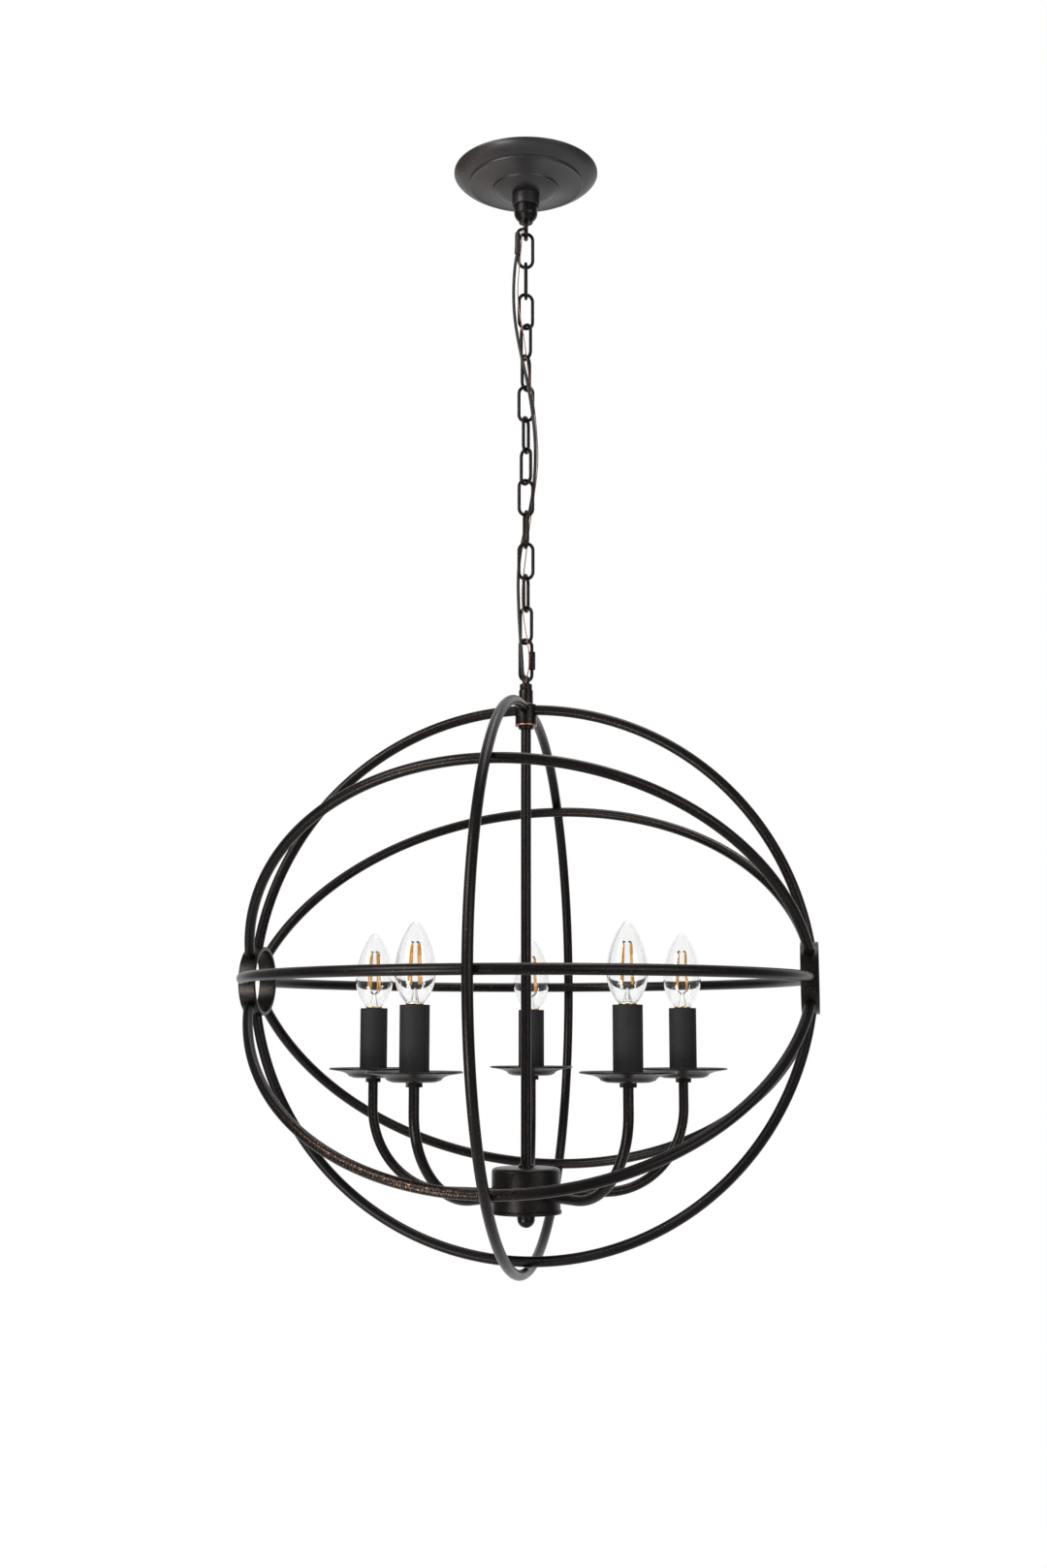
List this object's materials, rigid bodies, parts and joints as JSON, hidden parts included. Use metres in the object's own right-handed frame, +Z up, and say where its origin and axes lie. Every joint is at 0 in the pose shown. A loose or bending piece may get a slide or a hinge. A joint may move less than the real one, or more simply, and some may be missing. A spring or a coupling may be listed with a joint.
{
  "type": "orb chandelier",
  "caption": "Chain-hung orb chandelier: a cage of half hoops on two side hubs and a crossing ring round a cluster of candle lights with clear bulbs.",
  "frame": {"origin": "on the ceiling at the middle of the canopy, on the crossbar's top face", "axes": "+Z up towards the ceiling, +X through the two side hubs of the orb, -Y the front"},
  "size_m": [0.5274, 0.5286, 1.0495],
  "materials": {
    "bronze": "satin oil-rubbed bronze, brown-black with coppery rub marks",
    "zinc_steel": "zinc-plated strip",
    "plated_steel": "plated thread and nuts",
    "green_screw": "green ground screw",
    "candle_black": "matt black-brown sleeve with faint mottling",
    "holder_plastic": "black moulded lampholder",
    "cord_sheath": "black sheath",
    "ground_copper": "bare copper",
    "bulb_glass": "clear glass",
    "bulb_core": "brass cap, glass stem and amber filament sticks"
  },
  "bodies": {
    "ceiling_mount": {"crossbar": "zinc_steel", "mounting_nipple": "plated_steel", "nipple_nuts": "plated_steel", "ground_screw": "green_screw", "ceiling_loop": "bronze", "supply_cord": "cord_sheath", "ground_wire": "ground_copper"},
    "canopy": {"canopy": "bronze", "canopy_ring": "bronze"},
    "link_01": {"link_01": "bronze"},
    "link_02": {"link_02": "bronze"},
    "link_03": {"link_03": "bronze"},
    "link_04": {"link_04": "bronze"},
    "link_05": {"link_05": "bronze"},
    "link_06": {"link_06": "bronze"},
    "link_07": {"link_07": "bronze"},
    "link_08": {"link_08": "bronze"},
    "link_09": {"link_09": "bronze"},
    "link_10": {"link_10": "bronze"},
    "link_11": {"link_11": "bronze"},
    "link_12": {"link_12": "bronze"},
    "link_13": {"link_13": "bronze"},
    "quick_link": {"quick_link": "bronze"},
    "quick_link_nut": {"quick_link_nut": "bronze"},
    "orb": {"arm_1": "bronze", "arm_2": "bronze", "arm_3": "bronze", "arm_4": "bronze", "arm_5": "bronze", "candles": "candle_black", "cluster_cover": "bronze", "cluster_cup": "bronze", "down_rod": "bronze", "finial": "bronze", "fixture_loop": "bronze", "hoop_back": "bronze", "hoop_back_down": "bronze", "hoop_back_up": "bronze", "hoop_down": "bronze", "hoop_front": "bronze", "hoop_front_down": "bronze", "hoop_front_up": "bronze", "hoop_up": "bronze", "lampholders": "holder_plastic", "lock_nuts": "plated_steel", "loop_coupling": "bronze", "pans": "bronze", "ring_crossing": "bronze", "side_hubs": "bronze", "top_hub": "bronze"},
    "bulb_1": {"bulb_1_glass": "bulb_glass", "bulb_1_core": "bulb_core"},
    "bulb_2": {"bulb_2_glass": "bulb_glass", "bulb_2_core": "bulb_core"},
    "bulb_3": {"bulb_3_glass": "bulb_glass", "bulb_3_core": "bulb_core"},
    "bulb_4": {"bulb_4_glass": "bulb_glass", "bulb_4_core": "bulb_core"},
    "bulb_5": {"bulb_5_glass": "bulb_glass", "bulb_5_core": "bulb_core"}
  },
  "joints": [
    {"name": "canopy_slide", "type": "slide", "parent": "ceiling_mount", "child": "canopy", "axis": [0, 0, -1], "range_m": [0, 0.025]},
    {"name": "link_01_swing", "type": "hinge", "parent": "ceiling_mount", "child": "link_01", "pos_m": [0, 0, -0.0674], "axis": [-0.1736, 0.9848, 0], "range_deg": [-30, 30]},
    {"name": "link_02_swing", "type": "hinge", "parent": "link_01", "child": "link_02", "pos_m": [0, 0, -0.0979], "axis": [-0.9848, -0.1736, 0], "range_deg": [-30, 30]},
    {"name": "link_03_swing", "type": "hinge", "parent": "link_02", "child": "link_03", "pos_m": [0, 0, -0.129], "axis": [-0.1392, 0.9903, 0], "range_deg": [-30, 30]},
    {"name": "link_04_swing", "type": "hinge", "parent": "link_03", "child": "link_04", "pos_m": [0, 0, -0.1601], "axis": [-0.9135, -0.4067, 0], "range_deg": [-30, 30]},
    {"name": "link_05_swing", "type": "hinge", "parent": "link_04", "child": "link_05", "pos_m": [0, 0, -0.1912], "axis": [0.788, -0.6157, 0], "range_deg": [-30, 30]},
    {"name": "link_06_swing", "type": "hinge", "parent": "link_05", "child": "link_06", "pos_m": [0, 0, -0.2223], "axis": [-0.3746, -0.9272, 0], "range_deg": [-30, 30]},
    {"name": "link_07_swing", "type": "hinge", "parent": "link_06", "child": "link_07", "pos_m": [0, 0, -0.2534], "axis": [0.9945, 0.1045, 0], "range_deg": [-30, 30]},
    {"name": "link_08_swing", "type": "hinge", "parent": "link_07", "child": "link_08", "pos_m": [0, 0, -0.2845], "axis": [-0.1908, -0.9816, 0], "range_deg": [-30, 30]},
    {"name": "link_09_swing", "type": "hinge", "parent": "link_08", "child": "link_09", "pos_m": [0, 0, -0.3156], "axis": [0.788, -0.6157, 0], "range_deg": [-30, 30]},
    {"name": "link_10_swing", "type": "hinge", "parent": "link_09", "child": "link_10", "pos_m": [0, 0, -0.3467], "axis": [-0.9135, -0.4067, 0], "range_deg": [-30, 30]},
    {"name": "link_11_swing", "type": "hinge", "parent": "link_10", "child": "link_11", "pos_m": [0, 0, -0.3778], "axis": [0.4067, -0.9135, 0], "range_deg": [-30, 30]},
    {"name": "link_12_swing", "type": "hinge", "parent": "link_11", "child": "link_12", "pos_m": [0, 0, -0.4089], "axis": [-0.9945, -0.1045, 0], "range_deg": [-30, 30]},
    {"name": "link_13_swing", "type": "hinge", "parent": "link_12", "child": "link_13", "pos_m": [0, 0, -0.44], "axis": [0.1392, 0.9903, 0], "range_deg": [-30, 30]},
    {"name": "quick_link_swing", "type": "hinge", "parent": "link_13", "child": "quick_link", "pos_m": [0, 0, -0.4711], "axis": [0.8829, -0.4695, 0], "range_deg": [-30, 30]},
    {"name": "quick_link_nut_travel", "type": "slide", "parent": "quick_link", "child": "quick_link_nut", "axis": [0, 0, 1], "range_m": [0, 0.005]},
    {"name": "orb_swing", "type": "hinge", "parent": "quick_link", "child": "orb", "pos_m": [0, 0, -0.507], "axis": [-0.829, -0.5592, 0], "range_deg": [-30, 30], "deforming": ["supply_cord", "ground_wire"]},
    {"name": "bulb_1_travel", "type": "slide", "parent": "orb", "child": "bulb_1", "axis": [0, 0, 1], "range_m": [0, 0.016]},
    {"name": "bulb_2_travel", "type": "slide", "parent": "orb", "child": "bulb_2", "axis": [0, 0, 1], "range_m": [0, 0.016]},
    {"name": "bulb_3_travel", "type": "slide", "parent": "orb", "child": "bulb_3", "axis": [0, 0, 1], "range_m": [0, 0.016]},
    {"name": "bulb_4_travel", "type": "slide", "parent": "orb", "child": "bulb_4", "axis": [0, 0, 1], "range_m": [0, 0.016]},
    {"name": "bulb_5_travel", "type": "slide", "parent": "orb", "child": "bulb_5", "axis": [0, 0, 1], "range_m": [0, 0.016]}
  ]
}
